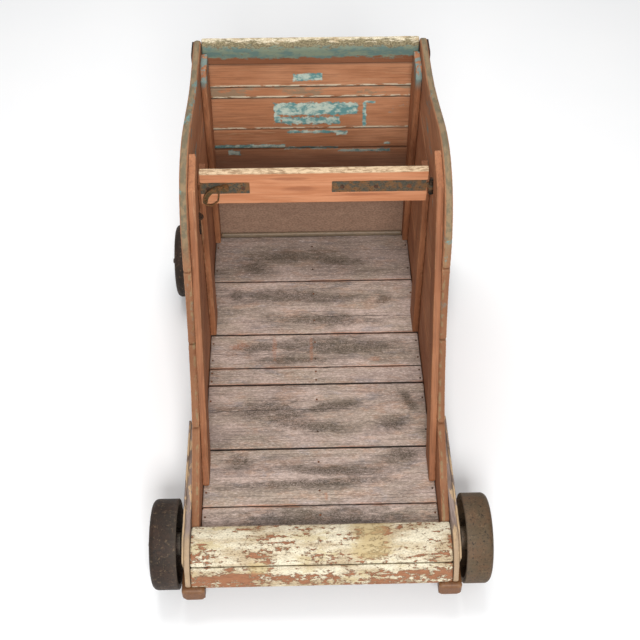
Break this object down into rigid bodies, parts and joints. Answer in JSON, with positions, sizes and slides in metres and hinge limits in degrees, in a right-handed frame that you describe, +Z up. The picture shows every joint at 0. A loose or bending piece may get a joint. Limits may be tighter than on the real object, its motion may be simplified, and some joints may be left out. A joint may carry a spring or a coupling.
{
  "type": "mine cart",
  "caption": "Low four-wheeled wooden cart with S-curved plank sides, a leaning back, a rounded nose, solid iron wheels and a hinged gate bar with latch.",
  "frame": {"origin": "on the ground, below the middle of the overall length and width", "axes": "+Z up, front towards -Y, wheels spin about X"},
  "size_m": [0.782, 1.188, 0.7838],
  "materials": {
    "cast_wheel": "rusted matt casting",
    "axle_iron": "dark oxidised bar",
    "forged_iron": "weathered forged iron",
    "floor_wood": "worn grey boards with traces of paint",
    "bar_wood": "salmon paint worn to bare edges",
    "nose_paint": "flaking cream paint over orange",
    "grey_wood": "weathered lavender-grey paint",
    "chassis_wood": "brown varnished timber",
    "painted_wood": "worn terracotta paint"
  },
  "bodies": {
    "cart": {"axle_collars": "axle_iron", "axle_nuts": "axle_iron", "axle_saddles": "axle_iron", "back_board_1": "painted_wood", "back_board_2": "painted_wood", "back_board_3": "painted_wood", "back_board_4": "painted_wood", "back_board_5": "painted_wood", "back_board_6": "painted_wood", "back_curb": "painted_wood", "centre_bearer": "chassis_wood", "corner_irons": "forged_iron", "crown_rail": "painted_wood", "floor_nails": "forged_iron", "floor_plank_1": "floor_wood", "floor_plank_2": "floor_wood", "floor_plank_3": "floor_wood", "floor_plank_4": "floor_wood", "floor_plank_5": "floor_wood", "floor_plank_6": "floor_wood", "floor_plank_7": "floor_wood", "front_axle": "axle_iron", "front_battens": "painted_wood", "front_beam": "chassis_wood", "guard_strips": "grey_wood", "hinge_leaf": "forged_iron", "hinge_pin": "forged_iron", "latch_plate": "forged_iron", "left_side_plank_1": "painted_wood", "left_side_plank_2": "painted_wood", "left_side_plank_3": "painted_wood", "left_side_plank_4": "painted_wood", "lower_nose_stave": "nose_paint", "middle_beam": "chassis_wood", "middle_posts": "painted_wood", "nose_transom": "chassis_wood", "outer_boards": "grey_wood", "rear_axle": "axle_iron", "rear_beam": "chassis_wood", "rear_cleats": "painted_wood", "right_side_plank_1": "painted_wood", "right_side_plank_2": "painted_wood", "right_side_plank_3": "painted_wood", "right_side_plank_4": "painted_wood", "side_bearers": "chassis_wood", "side_nails": "forged_iron", "sills": "chassis_wood", "upper_nose_stave": "nose_paint"},
    "gate": {"gate_bar": "bar_wood", "hinge_strap": "forged_iron", "latch_rivet": "forged_iron", "latch_strap": "forged_iron", "strap_rivets": "forged_iron"},
    "hook": {"latch_hook": "forged_iron", "latch_link": "forged_iron"},
    "pin": {"drop_pin": "forged_iron"},
    "front_left_wheel_body": {"front_left_wheel": "cast_wheel"},
    "front_right_wheel_body": {"front_right_wheel": "cast_wheel"},
    "rear_left_wheel_body": {"rear_left_wheel": "cast_wheel"},
    "rear_right_wheel_body": {"rear_right_wheel": "cast_wheel"}
  },
  "joints": [
    {"name": "front_left_spin", "type": "hinge", "parent": "cart", "child": "front_left_wheel_body", "pos_m": [-0.3495, -0.476, 0.1016], "axis": [1, 0, 0], "continuous": true},
    {"name": "front_right_spin", "type": "hinge", "parent": "cart", "child": "front_right_wheel_body", "pos_m": [0.3495, -0.476, 0.1016], "axis": [1, 0, 0], "continuous": true},
    {"name": "rear_left_spin", "type": "hinge", "parent": "cart", "child": "rear_left_wheel_body", "pos_m": [-0.3495, 0.428, 0.1016], "axis": [1, 0, 0], "continuous": true},
    {"name": "rear_right_spin", "type": "hinge", "parent": "cart", "child": "rear_right_wheel_body", "pos_m": [0.3495, 0.428, 0.1016], "axis": [1, 0, 0], "continuous": true},
    {"name": "gate_swing", "type": "hinge", "parent": "cart", "child": "gate", "pos_m": [0.258, 0.077, 0.6775], "axis": [0, 0, 1], "range_deg": [0, 88]},
    {"name": "hook_swing", "type": "hinge", "parent": "gate", "child": "hook", "pos_m": [-0.2, 0.0755, 0.682], "axis": [0, 1, 0], "range_deg": [0, 100]},
    {"name": "pin_lift", "type": "slide", "parent": "cart", "child": "pin", "axis": [0, 0, 1], "range_m": [0, 0.06]}
  ]
}
